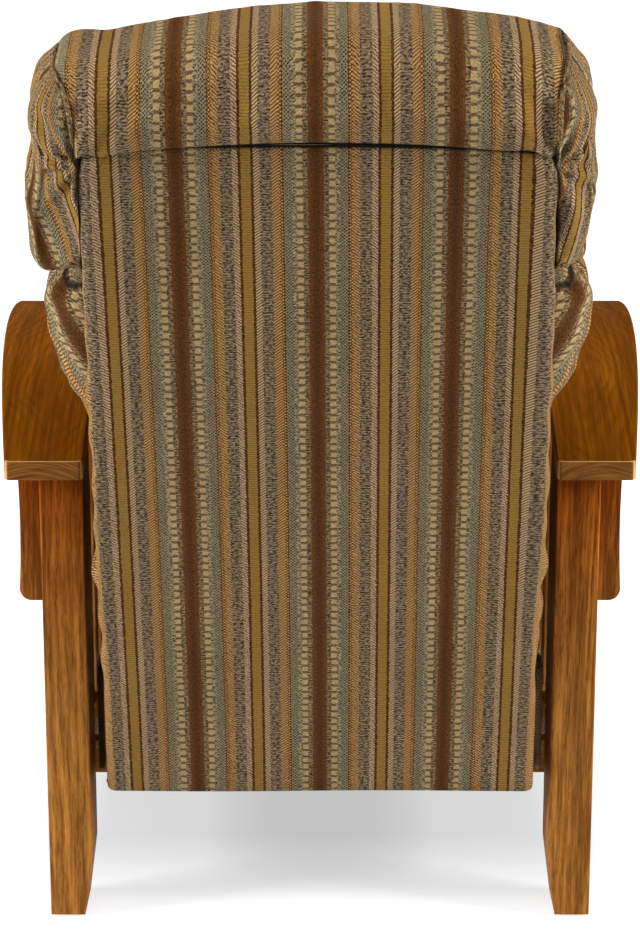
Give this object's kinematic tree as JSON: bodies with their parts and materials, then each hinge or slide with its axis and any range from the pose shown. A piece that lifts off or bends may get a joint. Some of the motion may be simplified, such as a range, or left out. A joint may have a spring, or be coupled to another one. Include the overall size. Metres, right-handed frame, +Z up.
{
  "type": "mission reclining armchair",
  "caption": "Reclining armchair with bowed flat oak arms, slatted sides, a leaning padded back and a fold-out footrest, in striped fabric.",
  "frame": {"origin": "centre of the footprint box, on the floor", "axes": "+Z up, -Y the way the sitter faces, +X the sitter's left"},
  "size_m": [0.8058, 0.9391, 1.0903],
  "materials": {
    "oak": "satin",
    "frame_timber": "matte",
    "mechanism_steel": "satin",
    "zinc_fasteners": "satin",
    "nylon": "matte",
    "striped_fabric": "matte",
    "deck_cloth": "matte"
  },
  "bodies": {
    "root": {"arm_left": "oak", "arm_right": "oak", "rear_leg_left": "oak", "rear_leg_right": "oak", "front_leg_left": "oak", "front_leg_right": "oak", "rear_corbel_left": "oak", "rear_corbel_right": "oak", "front_corbel_left": "oak", "front_corbel_right": "oak", "side_top_rail_left": "oak", "side_top_rail_right": "oak", "side_lower_rail_left": "oak", "side_lower_rail_right": "oak", "side_slats_left": "oak", "side_slats_right": "oak", "front_cross_rail": "oak", "rear_cross_rail": "oak", "base_channels": "mechanism_steel", "frame_bolts": "zinc_fasteners", "channel_screws": "zinc_fasteners", "floor_glides": "nylon"},
    "seat": {"seat_side_rails": "frame_timber", "seat_front_rail": "frame_timber", "seat_rear_rail": "frame_timber", "side_plate_left": "mechanism_steel", "side_plate_right": "mechanism_steel", "slide_blocks": "nylon", "seat_springs": "mechanism_steel", "seat_deck": "deck_cloth", "seat_cushion": "striped_fabric", "seat_side_panel_left": "striped_fabric", "seat_side_panel_right": "striped_fabric", "plate_rivets": "zinc_fasteners", "back_pivot_bolts": "zinc_fasteners"},
    "lift_arms": {"lift_links": "mechanism_steel", "torque_tube": "mechanism_steel", "lift_rivets": "zinc_fasteners"},
    "guide_arms": {"guide_links": "mechanism_steel"},
    "long_arms": {"long_links": "mechanism_steel", "guide_rivets": "zinc_fasteners"},
    "board_arms": {"board_links": "mechanism_steel"},
    "footrest": {"footrest_board": "frame_timber", "footrest_pad": "striped_fabric", "footrest_brackets": "mechanism_steel", "bracket_rivets": "zinc_fasteners", "footrest_screws": "zinc_fasteners"},
    "back": {"back_post_left": "frame_timber", "back_post_right": "frame_timber", "back_top_rail": "frame_timber", "back_middle_rail": "frame_timber", "back_bottom_rail": "frame_timber", "back_springs": "mechanism_steel", "outer_back_panel": "striped_fabric", "back_side_cover_left": "striped_fabric", "back_side_cover_right": "striped_fabric", "back_brackets": "mechanism_steel", "back_bracket_bolts": "zinc_fasteners", "head_pillow": "striped_fabric", "lumbar_pillow": "striped_fabric"}
  },
  "joints": [
    {"name": "seat_glide", "type": "slide", "parent": "root", "child": "seat", "axis": [0, -1, 0], "range_m": [0, 0.04]},
    {"name": "back_recline", "type": "hinge", "parent": "seat", "child": "back", "pos_m": [0, 0.15, 0.3], "axis": [-1, 0, 0], "range_deg": [0, 30]},
    {"name": "footrest_lift", "type": "hinge", "parent": "seat", "child": "lift_arms", "pos_m": [0, -0.35, 0.3], "axis": [-1, 0, 0], "range_deg": [0, 85]},
    {"name": "guide_turn", "type": "hinge", "parent": "seat", "child": "guide_arms", "pos_m": [0, -0.30435, 0.28517], "axis": [-1, 0, 0], "range_deg": [0, 85]},
    {"name": "long_turn", "type": "hinge", "parent": "lift_arms", "child": "long_arms", "pos_m": [0, -0.2878, 0.16351], "axis": [1, 0, 0], "range_deg": [0, 85]},
    {"name": "board_turn", "type": "hinge", "parent": "lift_arms", "child": "board_arms", "pos_m": [0, -0.27328, 0.13166], "axis": [1, 0, 0], "range_deg": [0, 85]},
    {"name": "footrest_turn", "type": "hinge", "parent": "long_arms", "child": "footrest", "pos_m": [0, -0.39539, 0.28728], "axis": [-1, 0, 0], "range_deg": [0, 85]}
  ],
  "couplings": [
    {"joint": "guide_turn", "follows": "footrest_lift", "ratio": 1},
    {"joint": "long_turn", "follows": "footrest_lift", "ratio": 1},
    {"joint": "board_turn", "follows": "footrest_lift", "ratio": 1},
    {"joint": "footrest_turn", "follows": "footrest_lift", "ratio": 1},
    {"joint": "seat_glide", "follows": "back_recline", "m_per_rad": 0.076394}
  ]
}
